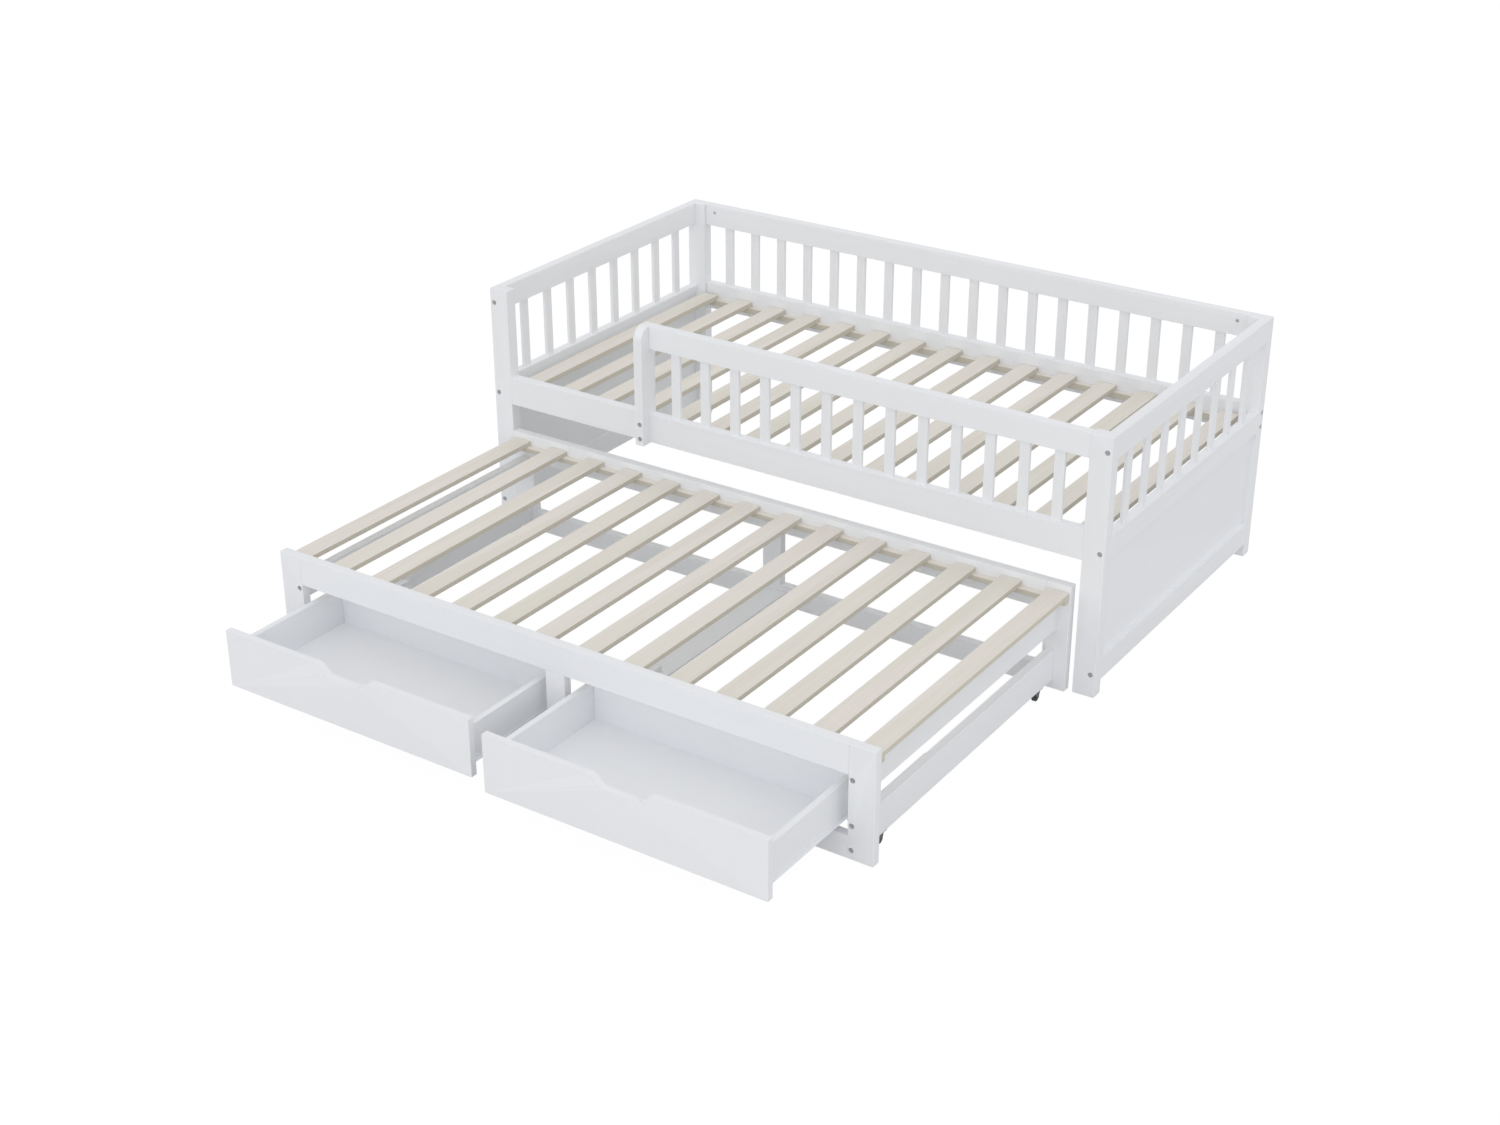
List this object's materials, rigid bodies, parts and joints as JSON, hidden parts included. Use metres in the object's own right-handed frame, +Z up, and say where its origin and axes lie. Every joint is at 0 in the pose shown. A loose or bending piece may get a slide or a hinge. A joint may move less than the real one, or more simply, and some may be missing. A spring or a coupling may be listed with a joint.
{
  "type": "trundle bed",
  "caption": "Low railed bed with slatted base and an entry gap in its guard rail, over a slatted trundle on casters that carries pull-out drawers.",
  "frame": {"origin": "centre of the footprint at floor level, with the trundle rolled out and the drawers pulled open as built", "axes": "+X along the bed from its head (the end with the entry gap) to its foot, +Y from the drawers towards the wall side, +Z up"},
  "size_m": [2, 2.366, 0.742],
  "materials": {
    "white_wood": "satin white paint on wood",
    "bare_wood": "pale sanded softwood, clear matt",
    "bolt_steel": "zinc plated",
    "runner_steel": "white powder coat",
    "caster_steel": "zinc plated",
    "wheel_plastic": "matt dark nylon"
  },
  "bodies": {
    "bed": {"post_head_front": "white_wood", "post_head_back": "white_wood", "post_foot_front": "white_wood", "post_foot_back": "white_wood", "head_top_rail": "white_wood", "head_mid_rail": "white_wood", "head_bottom_rail": "white_wood", "head_panel": "white_wood", "foot_top_rail": "white_wood", "foot_mid_rail": "white_wood", "foot_bottom_rail": "white_wood", "foot_panel": "white_wood", "end_balusters": "white_wood", "back_top_rail": "white_wood", "back_side_rail": "white_wood", "back_balusters": "white_wood", "front_side_rail": "white_wood", "guard_post": "white_wood", "guard_top_rail": "white_wood", "guard_balusters": "white_wood", "bed_ledgers": "bare_wood", "bed_slats": "bare_wood", "bed_bolts": "bolt_steel"},
    "trundle": {"trundle_front_top_rail": "white_wood", "trundle_front_bottom_rail": "white_wood", "trundle_front_post_left": "white_wood", "trundle_front_post_centre": "white_wood", "trundle_front_post_right": "white_wood", "trundle_rear_top_rail": "white_wood", "trundle_rear_bottom_rail": "white_wood", "trundle_rear_post_left": "white_wood", "trundle_rear_post_centre": "white_wood", "trundle_rear_post_right": "white_wood", "trundle_side_rail_upper_left": "white_wood", "trundle_side_rail_upper_right": "white_wood", "trundle_side_rail_lower_left": "white_wood", "trundle_side_rail_lower_right": "white_wood", "trundle_centre_board": "white_wood", "trundle_ledgers": "bare_wood", "trundle_slats": "bare_wood", "runner_battens": "white_wood", "drawer_channels": "runner_steel", "trundle_bolts": "bolt_steel", "caster_brackets": "caster_steel"},
    "left_drawer": {"left_drawer_front": "white_wood", "left_drawer_side_left": "white_wood", "left_drawer_side_right": "white_wood", "left_drawer_back": "white_wood", "left_drawer_bottom": "white_wood", "left_drawer_runners": "runner_steel"},
    "right_drawer": {"right_drawer_front": "white_wood", "right_drawer_side_left": "white_wood", "right_drawer_side_right": "white_wood", "right_drawer_back": "white_wood", "right_drawer_bottom": "white_wood", "right_drawer_runners": "runner_steel"},
    "wheel_front_left": {"caster_wheel_front_left": "wheel_plastic"},
    "wheel_rear_left": {"caster_wheel_rear_left": "wheel_plastic"},
    "wheel_front_right": {"caster_wheel_front_right": "wheel_plastic"},
    "wheel_rear_right": {"caster_wheel_rear_right": "wheel_plastic"}
  },
  "joints": [
    {"name": "trundle_slide", "type": "slide", "parent": "bed", "child": "trundle", "axis": [0, 1, 0], "range_m": [-0.2, 0.997]},
    {"name": "left_drawer_slide", "type": "slide", "parent": "trundle", "child": "left_drawer", "axis": [0, 1, 0], "range_m": [-0.038, 0.29]},
    {"name": "right_drawer_slide", "type": "slide", "parent": "trundle", "child": "right_drawer", "axis": [0, 1, 0], "range_m": [-0.005, 0.323]},
    {"name": "wheel_front_left_spin", "type": "hinge", "parent": "trundle", "child": "wheel_front_left", "pos_m": [-0.8747, -0.759, 0.0125], "axis": [1, 0, 0], "continuous": true},
    {"name": "wheel_rear_left_spin", "type": "hinge", "parent": "trundle", "child": "wheel_rear_left", "pos_m": [-0.8747, 0.042, 0.0125], "axis": [1, 0, 0], "continuous": true},
    {"name": "wheel_front_right_spin", "type": "hinge", "parent": "trundle", "child": "wheel_front_right", "pos_m": [0.8775, -0.759, 0.0125], "axis": [1, 0, 0], "continuous": true},
    {"name": "wheel_rear_right_spin", "type": "hinge", "parent": "trundle", "child": "wheel_rear_right", "pos_m": [0.8775, 0.042, 0.0125], "axis": [1, 0, 0], "continuous": true}
  ],
  "couplings": [
    {"joint": "wheel_front_left_spin", "follows": "trundle_slide", "rad_per_m": -80},
    {"joint": "wheel_rear_left_spin", "follows": "trundle_slide", "rad_per_m": -80},
    {"joint": "wheel_front_right_spin", "follows": "trundle_slide", "rad_per_m": -80},
    {"joint": "wheel_rear_right_spin", "follows": "trundle_slide", "rad_per_m": -80}
  ]
}
